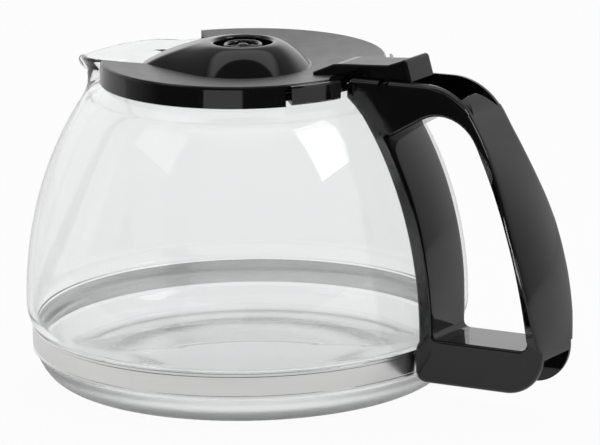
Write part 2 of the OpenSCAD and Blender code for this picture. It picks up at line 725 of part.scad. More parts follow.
// Spoked ring that the coffee runs through, pressed into the recess by its stem
module inlet_wheel() {
    color([0.13, 0.13, 0.14]) {
        ring(wheel_r - wheel_w, wheel_r, wheel_top - wheel_h, wheel_top);
        for (q = [0:2]) rotate([0, 0, 120 * q + spoke_turn])
            translate([0, -spoke_w / 2, wheel_top - spoke_h - wheel_w / 4])
                cube([wheel_r - wheel_w / 2, spoke_w, spoke_h]);
        translate([0, 0, well_floor]) cylinder(r = hub_r, h = wheel_top - well_floor);
        translate([0, 0, well_floor - lid_t]) cylinder(r = stem_r, h = 2 * lid_t);
    }
}

glass_vessel();
base_band();
clamp_nut();
clamp_screw();
handle();
neck_collar();
lid();
inlet_wheel();
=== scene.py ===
# Looks of a glass coffee jug: blown glass, steel foot band, black moulded handle, collar and lid.
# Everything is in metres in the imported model's frame. The vessel's axis is Z, the handle is at +X.
import math

import bpy
from mathutils import Matrix, Vector


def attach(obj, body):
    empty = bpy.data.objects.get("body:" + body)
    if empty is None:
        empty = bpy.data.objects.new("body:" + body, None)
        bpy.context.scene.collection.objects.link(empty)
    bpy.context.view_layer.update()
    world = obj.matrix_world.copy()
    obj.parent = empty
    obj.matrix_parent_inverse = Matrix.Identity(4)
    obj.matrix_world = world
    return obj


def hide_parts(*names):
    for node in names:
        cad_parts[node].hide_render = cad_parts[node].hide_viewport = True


MM = 0.001

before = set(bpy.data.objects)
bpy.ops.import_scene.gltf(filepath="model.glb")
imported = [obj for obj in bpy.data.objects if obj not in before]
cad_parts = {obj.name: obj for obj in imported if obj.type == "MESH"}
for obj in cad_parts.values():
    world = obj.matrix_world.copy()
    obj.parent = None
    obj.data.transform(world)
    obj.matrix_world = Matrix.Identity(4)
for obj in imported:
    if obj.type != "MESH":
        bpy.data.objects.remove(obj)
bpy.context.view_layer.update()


# Camera at the photograph's viewing angle
CAMERA_PLACE = Vector((813.8, -1162.2, 410.8)) * MM
CAMERA_LOOK = Vector((-0.54566, 0.80119, -0.24568))
CAMERA_ROLL = math.radians(-0.889)
CAMERA_LENS = 256.0
CAMERA_SENSOR = 36.0


def set_camera():
    camera = bpy.data.cameras.new("jug_camera")
    camera.lens = CAMERA_LENS
    camera.sensor_width = CAMERA_SENSOR
    camera.clip_end = 20
    holder = bpy.data.objects.new("jug_camera", camera)
    bpy.context.scene.collection.objects.link(holder)
    aim = CAMERA_LOOK.to_track_quat("-Z", "Y").to_matrix().to_4x4()
    holder.matrix_world = Matrix.Translation(CAMERA_PLACE) @ aim @ Matrix.Rotation(CAMERA_ROLL, 4, "Z")
    bpy.context.scene.camera = holder


# Curves that the outlines are drawn with, in millimetres
def arc(start, radius, heading, turned, steps):
    """Points of an arc that starts at a point; a heading is its angle below the horizontal."""
    points = []
    for i in range(1, steps + 1):
        a = math.radians(heading + (turned - heading) * i / steps)
        a0 = math.radians(heading)
        points.append((start[0] + radius * (math.sin(a) - math.sin(a0)),
                       start[1] + radius * (math.cos(a) - math.cos(a0))))
    return points


def bend(start, lean, end, steps):
    """Points of a curve from start to end that leans towards a third point."""
    points = []
    for i in range(steps + 1):
        t = i / steps
        points.append(tuple((1 - t) ** 2 * a + 2 * t * (1 - t) * b + t * t * c
                            for a, b, c in zip(start, lean, end)))
    return points


def smoothstep(low, high, value):
    t = min(1, max(0, (value - low) / (high - low)))
    return t * t * (3 - 2 * t)


# Modelling steps
def select_none():
    if bpy.context.object and bpy.context.object.mode == "EDIT":
        bpy.ops.object.mode_set(mode="OBJECT")
    bpy.ops.object.select_all(action="DESELECT")


def make_active(piece):
    select_none()
    piece.select_set(True)
    bpy.context.view_layer.objects.active = piece


def wire_loop(name, points):
    """A closed loop of edges through the points, which are in millimetres."""
    select_none()
    bpy.ops.mesh.primitive_circle_add(vertices=len(points), radius=MM, fill_type="NOTHING")
    piece = bpy.context.object
    piece.name = name
    for vertex, point in zip(piece.data.vertices, points):
        vertex.co = Vector(point) * MM
    return piece


def tidy_skin(piece):
    """Merges doubles and turns every face outwards."""
    make_active(piece)
    bpy.ops.object.mode_set(mode="EDIT")
    bpy.ops.mesh.select_all(action="SELECT")
    bpy.ops.mesh.remove_doubles(threshold=0.002 * MM)
    bpy.ops.mesh.normals_make_consistent(inside=False)
    bpy.ops.object.mode_set(mode="OBJECT")


def lathe(name, section, start=0.0, sweep=360.0, steps=96):
    """Turns a closed section of (radius, height) points about the Z axis."""
    a = math.radians(start)
    piece = wire_loop(name, [(r * math.cos(a), r * math.sin(a), z) for r, z in section])
    bpy.ops.object.mode_set(mode="EDIT")
    bpy.ops.mesh.select_all(action="SELECT")
    bpy.ops.mesh.spin(steps=steps, angle=math.radians(sweep), center=(0, 0, 0), axis=(0, 0, -1))
    bpy.ops.object.mode_set(mode="OBJECT")
    if sweep < 360:
        close_end(piece, start)
        close_end(piece, start + sweep)
    tidy_skin(piece)
    return piece


def close_end(piece, azimuth):
    """Fills the open section of a part-turned piece at an azimuth."""
    a = math.radians(azimuth)
    make_active(piece)
    bpy.ops.object.mode_set(mode="EDIT")
    bpy.ops.mesh.select_mode(type="VERT")
    bpy.ops.mesh.select_all(action="DESELECT")
    bpy.ops.object.mode_set(mode="OBJECT")
    for vertex in piece.data.vertices:
        x, y, z = vertex.co
        off_plane = abs(x * math.sin(a) - y * math.cos(a))
        outwards = x * math.cos(a) + y * math.sin(a)
        vertex.select = off_plane < 0.001 * MM and outwards > 0
    bpy.ops.object.mode_set(mode="EDIT")
    bpy.ops.mesh.edge_face_add()
    bpy.ops.object.mode_set(mode="OBJECT")


def slab(name, outline, half, middle=0.0):
    """A solid between two faces that are square to Y; the outline is in X and Z."""
    piece = wire_loop(name, [(x, middle - half, z) for x, z in outline])
    return thicken(piece, (0, 2 * half * MM, 0))


def prism(name, outline, low, high):
    """An upright solid on an outline in X and Y."""
    piece = wire_loop(name, [(x, y, low) for x, y in outline])
    return thicken(piece, (0, 0, (high - low) * MM))


def beam(name, outline, low, high):
    """A solid along X on an outline in Y and Z."""
    piece = wire_loop(name, [(low, y, z) for y, z in outline])
    return thicken(piece, ((high - low) * MM, 0, 0))


def loft(name, rings):
    """A closed solid through rings that have the same number of points."""
    count = len(rings[0])
    turns = [2 * math.pi * i / count for i in range(count)]
    piece = wire_loop(name, [(math.cos(a), math.sin(a), 0) for a in turns])
    bpy.ops.object.mode_set(mode="EDIT")
    bpy.ops.mesh.select_all(action="SELECT")
    bpy.ops.mesh.edge_face_add()
    for _ in rings[1:]:
        bpy.ops.mesh.extrude_region_move(TRANSFORM_OT_translate={"value": (0, 0, MM)})
    bpy.ops.object.mode_set(mode="OBJECT")
    for vertex in piece.data.vertices:
        x, y, z = (c / MM for c in vertex.co)
        place = round(math.atan2(y, x) / (2 * math.pi) * count) % count
        vertex.co = Vector(rings[round(z)][place]) * MM
    tidy_skin(piece)
    return piece


def thicken(piece, shift):
    bpy.ops.object.mode_set(mode="EDIT")
    bpy.ops.mesh.select_all(action="SELECT")
    bpy.ops.mesh.edge_face_add()
    bpy.ops.mesh.extrude_region_move(TRANSFORM_OT_translate={"value": shift})
    bpy.ops.object.mode_set(mode="OBJECT")
    tidy_skin(piece)
    return piece


def rod(name, radius, place, axis, length, steps=48):
    """A cylinder of radius and length in millimetres, centred on place, along X, Y or Z."""
    select_none()
    turned = {"X": (0, math.pi / 2, 0), "Y": (math.pi / 2, 0, 0), "Z": (0, 0, 0)}[axis]
    bpy.ops.mesh.primitive_cylinder_add(vertices=steps, radius=radius * MM, depth=length * MM,
                                        location=Vector(place) * MM, rotation=turned)
    piece = bpy.context.object
    piece.name = name
    bpy.ops.object.transform_apply(location=True, rotation=True, scale=True)
    return piece


def block(name, low, high):
    """A rectangular solid between two corners."""
    return prism(name, [(low[0], low[1]), (high[0], low[1]), (high[0], high[1]), (low[0], high[1])],
                 low[2], high[2])


def use_tool(piece, tool, operation):
    modifier = piece.modifiers.new("tool", "BOOLEAN")
    modifier.operation = operation
    modifier.solver = "EXACT"
    modifier.object = tool
    make_active(piece)
    bpy.ops.object.modifier_apply(modifier=modifier.name)
    bpy.data.objects.remove(tool)
    return piece


def cut(piece, *tools):
    for tool in tools:
        use_tool(piece, tool, "DIFFERENCE")
    return piece


def fuse(piece, *tools):
    for tool in tools:
        use_tool(piece, tool, "UNION")
    return piece


def keep_common(piece, tool):
    return use_tool(piece, tool, "INTERSECT")


def ease_edges(piece, width, corner=50.0, segments=3):
    """Rounds every edge that is sharper than the corner angle."""
    modifier = piece.modifiers.new("ease", "BEVEL")
    modifier.width = width * MM
    modifier.segments = segments
    modifier.limit_method = "ANGLE"
    modifier.angle_limit = math.radians(corner)
    modifier.use_clamp_overlap = True
    modifier.miter_outer = "MITER_ARC"
    make_active(piece)
    bpy.ops.object.modifier_apply(modifier=modifier.name)
    return piece


def polish(piece, corner=32.0, weighted=True):
    """Smooth shading that keeps flat faces flat."""
    tidy_skin(piece)
    bpy.ops.object.shade_smooth_by_angle(angle=math.radians(corner))
    if weighted:
        modifier = piece.modifiers.new("flats", "WEIGHTED_NORMAL")
        modifier.keep_sharp = True
        modifier.weight = 80
        bpy.ops.object.modifier_apply(modifier=modifier.name)
    return piece


def hand_over(piece, body, material, slot, *nodes):
    piece.data.materials.clear()
    piece.data.materials.append(material)
    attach(piece, body)
    if nodes:
        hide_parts(*nodes)
    return piece


def add_finish(piece, material, chosen):
    """Gives a second material to the faces that chosen(centre in millimetres, normal) picks."""
    make_active(piece)
    piece.data.materials.append(material)
    bpy.ops.object.mode_set(mode="EDIT")
    bpy.ops.mesh.select_mode(type="FACE")
    bpy.ops.mesh.select_all(action="DESELECT")
    bpy.ops.object.mode_set(mode="OBJECT")
    for face in piece.data.polygons:
        face.select = chosen(face.center / MM, face.normal)
    bpy.ops.object.mode_set(mode="EDIT")
    piece.active_material_index = len(piece.data.materials) - 1
    bpy.ops.object.material_slot_assign()
    bpy.ops.object.mode_set(mode="OBJECT")


# Materials
def new_material(name):
    material = bpy.data.materials.new(name)
    material.use_nodes = True
    nodes = material.node_tree.nodes
    return material, nodes, material.node_tree.links, nodes["Principled BSDF"]


def object_noise(nodes, links, scale, detail, roughness=0.5, stretch=(1, 1, 1)):
    place = nodes.new("ShaderNodeTexCoord")
    turn = nodes.new("ShaderNodeMapping")
    turn.inputs["Scale"].default_value = stretch
    noise = nodes.new("ShaderNodeTexNoise")
    noise.inputs["Scale"].default_value = scale
    noise.inputs["Detail"].default_value = detail
    noise.inputs["Roughness"].default_value = roughness
    links.new(place.outputs["Object"], turn.inputs["Vector"])
    links.new(turn.outputs["Vector"], noise.inputs["Vector"])
    return noise


def remap(nodes, links, source, low, high, from_low=0.3, from_high=0.7):
    span = nodes.new("ShaderNodeMapRange")
    span.inputs["From Min"].default_value = from_low
    span.inputs["From Max"].default_value = from_high
    span.inputs["To Min"].default_value = low
    span.inputs["To Max"].default_value = high
    links.new(source, span.inputs["Value"])
    return span.outputs["Result"]


def black_plastic(name, smoothest, roughest, grain, specular=0.5, painted_sheen=0.0):
    """Injection-moulded plastic with faint flow and handling marks; grain is the depth of its skin. Its last
    argument adds grey to the base colour, a painted sheen that lightens it.
    """
    material, nodes, links, shader = new_material(name)
    flow = object_noise(nodes, links, 45, 3)
    ramp = nodes.new("ShaderNodeValToRGB")
    ramp.color_ramp.elements[0].color = (0.0036 + painted_sheen, 0.0034 + painted_sheen, 0.0042 + painted_sheen, 1)
    ramp.color_ramp.elements[1].color = (0.007 + painted_sheen, 0.0064 + painted_sheen, 0.0078 + painted_sheen, 1)
    links.new(flow.outputs["Fac"], ramp.inputs["Fac"])
    links.new(ramp.outputs["Color"], shader.inputs["Base Color"])
    handling = object_noise(nodes, links, 160, 4, 0.6)
    links.new(remap(nodes, links, handling.outputs["Fac"], smoothest, roughest), shader.inputs["Roughness"])
    skin = object_noise(nodes, links, 900, 2)
    bump = nodes.new("ShaderNodeBump")
    bump.inputs["Strength"].default_value = grain
    bump.inputs["Distance"].default_value = 0.00004
    links.new(skin.outputs["Fac"], bump.inputs["Height"])
    links.new(bump.outputs["Normal"], shader.inputs["Normal"])
    shader.inputs["IOR"].default_value = 1.53
    shader.inputs["Specular IOR Level"].default_value = specular
    return material


def blown_glass(name, roughness):
    """Almost colourless glass with faint cords."""
    material, nodes, links, shader = new_material(name)
    shader.inputs["Transmission Weight"].default_value = 1
    shader.inputs["IOR"].default_value = 1.47
    shader.inputs["Roughness"].default_value = roughness
    cords = object_noise(nodes, links, 14, 2, 0.5, (1, 1, 3))
    ramp = nodes.new("ShaderNodeValToRGB")
    ramp.color_ramp.elements[0].color = (0.92, 0.926, 0.928, 1)
    ramp.color_ramp.elements[1].color = (0.935, 0.94, 0.942, 1)
    links.new(cords.outputs["Fac"], ramp.inputs["Fac"])
    links.new(ramp.outputs["Color"], shader.inputs["Base Color"])
    return material


def brushed_band_steel():
    """Bright strip steel, brushed along its length."""
    material, nodes, links, shader = new_material("brushed_band_steel")
    shader.inputs["Metallic"].default_value = 1
    brush = object_noise(nodes, links, 60, 3, 0.5, (0.2, 0.2, 14))
    ramp = nodes.new("ShaderNodeValToRGB")
    ramp.color_ramp.elements[0].color = (0.83, 0.83, 0.825, 1)
    ramp.color_ramp.elements[1].color = (0.87, 0.87, 0.865, 1)
    links.new(brush.outputs["Fac"], ramp.inputs["Fac"])
    links.new(ramp.outputs["Color"], shader.inputs["Base Color"])
    links.new(remap(nodes, links, brush.outputs["Fac"], 0.2, 0.27), shader.inputs["Roughness"])
    bump = nodes.new("ShaderNodeBump")
    bump.inputs["Strength"].default_value = 0.03
    bump.inputs["Distance"].default_value = 0.00005
    links.new(brush.outputs["Fac"], bump.inputs["Height"])
    links.new(bump.outputs["Normal"], shader.inputs["Normal"])
    return material


def zinc_plated_steel():
    """Plated screw and nut plate."""
    material, nodes, links, shader = new_material("zinc_plated_steel")
    shader.inputs["Metallic"].default_value = 1
    spangle = object_noise(nodes, links, 350, 4)
    ramp = nodes.new("ShaderNodeValToRGB")
    ramp.color_ramp.elements[0].color = (0.42, 0.43, 0.45, 1)
    ramp.color_ramp.elements[1].color = (0.60, 0.61, 0.62, 1)
    links.new(spangle.outputs["Fac"], ramp.inputs["Fac"])
    links.new(ramp.outputs["Color"], shader.inputs["Base Color"])
    links.new(remap(nodes, links, spangle.outputs["Fac"], 0.28, 0.45), shader.inputs["Roughness"])
    return material


# Glass vessel: above BELLY_Z the belly is half an ellipse with the half-axes BELLY_R and BELLY_H
BELLY_R, BELLY_Z, BELLY_H = 76.0, 25.8, 102.5
GLASS_T = 2.0
NECK_R, NECK_Z, RIM_Z = 44.8, 104.0, 107.5
SHOULDER_Z = 98.0
SEAT_R, BAND_Z, BAND_W = 73.65, 10.6, 8.4


def belly(z, out=0.0):
    """Radius of the belly at a height, with its wall moved outwards."""
    return (BELLY_R + out) * math.sqrt(1 - ((z - BELLY_Z) / (BELLY_H + out)) ** 2)


def glass_section():
    outside = [(0, 0), (16, 0), (32, 0)]
    outside += [(33 + 21 * i / 20, 0.5 - 0.5 * math.cos(2 * math.pi * i / 20)) for i in range(1, 20)]
    outside += [(55, 0), (58, 0), (61, 0)]
    outside += bend((63, 0), (69.8, 0), (SEAT_R - 0.5, 9.4), 12)
    outside += [(SEAT_R, 10.2), (SEAT_R, 14.8), (SEAT_R, 19.4)]
    outside += bend((SEAT_R + 0.4, 19.7), (75.5, 20.2), (BELLY_R, BELLY_Z), 8)
    outside += [(belly(z), z) for z in (BELLY_Z + (SHOULDER_Z - BELLY_Z) * i / 26 for i in range(1, 26))]
    outside += bend((belly(SHOULDER_Z), SHOULDER_Z), (48.8, 102.6), (NECK_R, NECK_Z), 12)
    outside += [(NECK_R, 104.9), (NECK_R + 0.15, 105.5), (NECK_R + 0.7, 106.0), (NECK_R + 1.15, 106.5),
                (NECK_R + 1.15, 107.0), (NECK_R + 0.75, 107.4), (NECK_R + 0.1, RIM_Z)]
    inside = [(NECK_R - 0.6, 107.42), (NECK_R - 1.15, 107.0), (NECK_R - 1.5, 106.4), (NECK_R - 1.9, 105.6),
              (NECK_R - GLASS_T, 104.8)]
    inside += bend((NECK_R - GLASS_T, 103.4), (46.2, 100.8), (belly(96.5, -GLASS_T), 96.5), 12)
    inside += [(belly(z, -GLASS_T), z) for z in (96.5 - (96.5 - 25) * i / 26 for i in range(1, 27))]
    inside += [(73.6, 23.0), (72.9, 21.2), (72.1, 19.6)]
    inside += bend((71.6, 17.5), (71.2, 4.2), (58, 4.0), 14)
    inside += [(50, 4.15), (40, 4.4), (26, 4.8), (12, 5.0), (0, 5.0)]
    return outside, inside


# The spout: its rim as (radius, azimuth), and its tip's outside and inside as (height, radius)
SPOUT_RIM = [(46.0, 152.0), (47.6, 154.0), (50.0, 156.0), (53.0, 158.4), (55.7, 161.0), (58.6, 165.0),
             (61.0, 169.0), (62.6, 172.1), (65.4, 175.1), (68.2, 177.6), (70.0, 180.0)]
SPOUT_OUTSIDE = [(94.2, 56.3), (95.0, 58.6), (95.9, 60.8), (96.8, 63.2), (97.5, 65.6), (98.3, 67.6),
                 (99.4, 69.1), (100.6, 69.9), (101.6, 70.0), (102.3, 69.6), (102.5, 69.0)]
SPOUT_INSIDE = [(96.6, 55.0), (97.0, 57.0), (97.6, 59.4), (98.4, 61.8), (99.2, 63.9), (100.0, 65.6),
                (100.8, 66.8), (101.6, 67.7), (102.1, 68.2), (102.4, 68.6), (102.5, 69.0)]


def spout_reach(azimuth):
    """How far out the spout's rim is at an azimuth, from 0 at its sides to 1 at its tip."""
    turned = abs(azimuth)
    if turned <= SPOUT_RIM[0][1]:
        return 0.0
    for (r0, a0), (r1, a1) in zip(SPOUT_RIM, SPOUT_RIM[1:]):
        if turned <= a1:
            r = r0 + (r1 - r0) * (turned - a0) / (a1 - a0)
            return (r - SPOUT_RIM[0][0]) / (SPOUT_RIM[-1][0] - SPOUT_RIM[0][0])
    return 1.0


def along(points, share):
    """Point at a share of a polyline's length."""
    lengths = [math.dist(p, q) for p, q in zip(points, points[1:])]
    left = share * sum(lengths)
    for (p, q), length in zip(zip(points, points[1:]), lengths):
        if left <= length or length == lengths[-1] and q == points[-1]:
            t = min(1, left / length) if length else 0
            return tuple(a + (b - a) * t for a, b in zip(p, q))
        left -= length
    return points[-1]


def under_foot(centre, normal):
    """True for the underside, which real jugs have stippled where it rests on the warming plate."""
    return normal.z < -0.35 and centre.z < 9


def glass_vessel(material, stippled_material):
    outside, inside = glass_section()
    piece = lathe("jug_glass", outside + inside, start=0, steps=192)
    low_out, low_in = SPOUT_OUTSIDE[0][0], SPOUT_INSIDE[0][0]
    neck_out = [p for p in outside if p[1] >= low_out]
    neck_in = [p for p in reversed(inside) if p[1] >= low_in]

    def share_table(points):
        total, table = 0.0, [(points[0], 0.0)]
        for p, q in zip(points, points[1:]):
            total += math.dist(p, q)
            table.append((q, total))
        return [(p, s / total) for p, s in table]

    shares = share_table(neck_out) + share_table(neck_in)
    tip_out = [(r, z) for z, r in SPOUT_OUTSIDE]
    tip_in = [(r, z) for z, r in SPOUT_INSIDE]
    for vertex in piece.data.vertices:
        x, y, z = (c / MM for c in vertex.co)
        r = math.hypot(x, y)
        azimuth = math.degrees(math.atan2(y, x))
        reach = spout_reach(azimuth)
        if reach <= 0 or z < low_out - 0.01 or r < 30:
            continue
        index, (point, share) = min(enumerate(shares), key=lambda e: math.dist(e[1][0], (r, z)))
        if math.dist(point, (r, z)) > 0.05:
            continue
        outer = index < len(neck_out)
        target = along(tip_out if outer else tip_in, share)
        start = (r, z)
        new_r = start[0] + (target[0] - start[0]) * reach
        drop = reach ** 2.6 if share > 0.6 else reach ** (1 + 1.6 * share / 0.6)
        new_z = start[1] + (target[1] - start[1]) * drop
        a = math.radians(azimuth)
        vertex.co = Vector((new_r * math.cos(a), new_r * math.sin(a), new_z)) * MM
    tidy_skin(piece)
    bpy.ops.object.shade_smooth_by_angle(angle=math.radians(60))
    hand_over(piece, "jug", material, "glass", "glass_vessel")
    add_finish(piece, stippled_material, under_foot)
    return piece


# Steel band with a rolled upper and lower edge and two clamped ends
def base_band(material):
    outer, inner, low, high = 74.3, 73.7, BAND_Z, BAND_Z + BAND_W
    section = [(inner, low + 0.1), (inner + 0.12, low), (outer - 0.15, low), (outer, low + 0.15),
               (outer, low + 0.7), (outer - 0.16, low + 0.85), (outer - 0.16, low + 1.0),
               (outer - 0.05, low + 1.2),
               (outer - 0.05, high - 1.3), (outer - 0.16, high - 1.1), (outer - 0.16, high - 0.95),
               (outer, high - 0.8), (outer, high - 0.15), (outer - 0.15, high), (inner + 0.12, high),
               (inner, high - 0.1)]
    piece = lathe("steel_band", section, steps=240)
    cut(piece, block("band_gap", (60, -2.4, low - 1), (90, 2.4, high + 1)))
    for side in (-1, 1):
        near, far = sorted((side * 2.4, side * 3.0))
        edge = sorted((side * 2.4, side * 5.8))
        fuse(piece, block("band_end", (73.72, near, low + 0.05), (78.0, far, high - 0.05)))
        fuse(piece, block("band_tongue", (77.5, near, 12.3), (84.0, far, 17.3)))
        fuse(piece, block("band_hook", (83.4, edge[0], 12.3), (84.0, edge[1], 17.3)))
    polish(piece, 40)
    return hand_over(piece, "jug", material, "band_steel", "base_band")


# Handle
HANDLE_HALF, CHEEK_IN = 10.6, 8.0
PIVOT = (63.2, 0, 107.4)
ARM_TILT, BEND_TURN, GRIP_TURN = 2, 58, 84
BEND_START, BEND_R, GRIP_R, HEEL_R, TOE_R = (78.5, 110.4), 22, 175, 14.4, 3.8
CEILING_START, CEILING_TILT, CEILING_R, CEILING_TURN = (78, 98.4), 29.6, 15, 62
LEG_GAP, LEG_FACE = 0.7, 6.3


def slope(angle):
    return math.tan(math.radians(angle))


def along_glass(z, gap):
    """Distance from the axis at which the handle's sides stand off the glass by a gap."""
    return math.sqrt((belly(z) + gap) ** 2 - HANDLE_HALF ** 2)


def handle_outline():
    turn = arc(BEND_START, BEND_R, -ARM_TILT, BEND_TURN, 18)
    grip = arc(turn[-1], GRIP_R, BEND_TURN, GRIP_TURN, 22)
    heel = arc(grip[-1], HEEL_R, GRIP_TURN, 180 - ARM_TILT, 18)
    toe_start = (BEND_START[0], heel[-1][1] - (heel[-1][0] - BEND_START[0]) * slope(ARM_TILT))
    toe = arc(toe_start, TOE_R, 180 - ARM_TILT, 270, 8)
    nose_top = (50.8, BEND_START[1] - (BEND_START[0] - 50.8) * slope(ARM_TILT))
    points = [(48.3, 104.6), (49.0, 108.0), (49.6, 109.0), nose_top, BEND_START]
    points += turn + grip + heel + [toe_start] + toe
    points += [(toe_start[0] - TOE_R, 20.3), (75.3, 21.6), (along_glass(22.8, LEG_GAP), 22.8)]
    points += [(along_glass(z, LEG_GAP), z) for z in (22.8 + (97 - 22.8) * i / 24 for i in range(1, 25))]
    points += [(51.3, 100.2), (48.3, 102.7)]
    return points


def window_outline():
    start = (65.4, CEILING_START[1] - (CEILING_START[0] - 65.4) * slope(CEILING_TILT))
    ceiling = arc(CEILING_START, CEILING_R, -CEILING_TILT, CEILING_TURN, 18)
    grip = arc(ceiling[-1], GRIP_R, CEILING_TURN, GRIP_TURN, 18)
    heel = arc(grip[-1], 3, GRIP_TURN, 180 - ARM_TILT, 8)
    toe = (84.6, heel[-1][1] - (heel[-1][0] - 84.6) * slope(ARM_TILT))
    points = [start, (71.5, start[1] + (71.5 - start[0]) * slope(CEILING_TILT)), CEILING_START]
    points += ceiling + grip + heel + [toe]
    leg = [(along_glass(z, LEG_FACE), z) for z in
           (toe[1] + 1.9 + (start[1] - toe[1] - 3.2) * i / 22 for i in range(23))]
    points += bend(toe, (leg[0][0] + 0.15, toe[1] + 0.02), leg[0], 5)[1:-1]
    points += leg
    points += bend(leg[-1], (start[0] - 0.65, start[1] - 0.4), start, 4)[1:-1]
    return points


def grow_outline(points, distance):
    """The clockwise outline moved outwards, corner by corner."""
    grown = []
    for i, point in enumerate(points):
        before, after = points[i - 1], points[(i + 1) % len(points)]
        a = (Vector(point) - Vector(before)).normalized()
        b = (Vector(after) - Vector(point)).normalized()
        shift = Vector((-a.y - b.y, a.x + b.x)) / max(0.3, 1 + a.dot(b))
        grown.append((point[0] + distance * shift.x, point[1] + distance * shift.y))
    return grown


# How far the grip and the leg swell sideways at a height, as shares of the widest place
GRIP_SWELL = [(23.0, 0.0), (25.0, 0.06), (28.0, 0.24), (34.0, 0.60), (41.0, 0.82), (48.0, 0.95), (56.0, 1.0),
              (64.0, 0.98), (72.0, 0.76), (80.0, 0.42), (88.0, 0.14), (95.0, 0.0), (101.0, 0.0)]
GRIP_WIDER, GRIP_INNER_WIDER, GRIP_CROWN = 3.9, 0.9, 1.3
LEG_SWELL = [(22.0, 0.0), (29.0, 0.05), (36.0, 0.25), (43.0, 0.5), (51.0, 0.7), (60.0, 0.85), (75.0, 1.0),
             (100.0, 1.0)]
LEG_WIDER, LEG_CROWN, LEG_DEEP = 1.7, 1.0, 4.5


def swell(table, z):
    """Share of the swelling at a height, eased between the table's heights."""
    if z <= table[0][0]:
        return table[0][1]
    for (z0, s0), (z1, s1) in zip(table, table[1:]):
        if z <= z1:
            return s0 + (s1 - s0) * (z - z0) / (z1 - z0)
    return table[-1][1]


def crowned(half, level, crown, edge, steps=14):
    """(depth, y) points across a crowned face, from one side to the other, with rounded edges."""
    points = [(level - edge, -half), (level - 0.3 * edge, -half + 0.3 * edge)]
    for i in range(steps + 1):
        y = (half - edge) * (2 * i / steps - 1)
        points.append((level + crown * (1 - (y / (half - edge)) ** 2), y))
    return points + [(level - 0.3 * edge, half - 0.3 * edge), (level - edge, half)]


def grip_pad():
    """The grip's swelling: the back is wider than the front and a little crowned, and both die out."""
    turn = arc(BEND_START, BEND_R, -ARM_TILT, BEND_TURN, 40)
    outer = turn[-6:] + arc(turn[-1], GRIP_R, BEND_TURN, GRIP_TURN, 60)
    ceiling = arc(CEILING_START, CEILING_R, -CEILING_TILT, CEILING_TURN, 40)
    inner = ceiling + arc(ceiling[-1], GRIP_R, CEILING_TURN, GRIP_TURN, 60)
    rings = []
    for x, z in outer:
        xi, zi = min(inner, key=lambda p: math.dist(p, (x, z)))
        out = Vector((x - xi, z - zi))
        depth = out.length
        out.normalize()
        share = swell(GRIP_SWELL, z)
        sunk = 0.08 * (1 - min(1, share * 8))
        front, back = (HANDLE_HALF - sunk + wider * share for wider in (GRIP_INNER_WIDER, GRIP_WIDER))
        front_level = sunk - 0.06 * min(1, share * 8)
        corner = [(front_level, 0.9), (front_level + 0.25, 0.25), (front_level + 0.9, 0.0)]
        section = [(level, -front + inset) for level, inset in corner]
        section += crowned(back, depth - sunk, GRIP_CROWN * share, 0.9)
        section += [(level, front - inset) for level, inset in corner[::-1]]
        rings.append([(xi + d * out.x, y, zi + d * out.y) for d, y in section])
    return loft("grip_pad", rings)


def leg_pad():
    """The leg's swelling towards the finger opening, a little crowned."""
    rings = []
    for step in range(41):
        z = 22.5 + (97 - 22.5) * step / 40
        face = along_glass(z, LEG_FACE)
        share = swell(LEG_SWELL, z)
        sunk = 0.08 * (1 - min(1, share * 8))
        half = HANDLE_HALF - sunk + LEG_WIDER * share
        section = [(face - LEG_DEEP, -HANDLE_HALF + 0.08)]
        section += crowned(half, face - sunk + 1.1 * share, LEG_CROWN * share, 0.8)
        section += [(face - LEG_DEEP, HANDLE_HALF - 0.08)]
        rings.append([(d, y, z) for d, y in section])
    room = [(60, 24.6), (92, 23.6), (92, 103), (78.2, 99.6), (71.2, 95.9), (60, 89.6)]
    return keep_common(loft("leg_pad", rings), slab("pad_room", room[::-1], HANDLE_HALF + 4))


# Places in X and Z of the level marks, and points in X and Z of the walls inside the handle
LEVEL_MARKS = [(67.8, 81.2), (69.2, 70.8), (70.3, 61.7), (71.4, 53.7), (72.5, 45.2), (73.4, 38.1), (74.5, 29.7)]
GRIP_STRAP = [(86, 102.9), (90, 105.4), (92.4, 107.6), (127, 107.6), (127, 22.8), (124, 22.8), (118.6, 19.2),
              (115.6, 22.0), (118.0, 26.0), (98, 92.0), (86, 98.4)]
STRAP_ARCH = [(-12, 15)] + [(y, 107.2 - 6.4 * (y / 8.4) ** 2) for y in range(-12, 13)] + [(12, 15)]
NOSE_WALL = [(48.9, 102.6), (48.9, 106.3), (51.2, 106.3), (51.2, 101.2)]
SCREW_WALL = [(92, 10), (92, 22), (95.5, 22), (95.5, 10)]


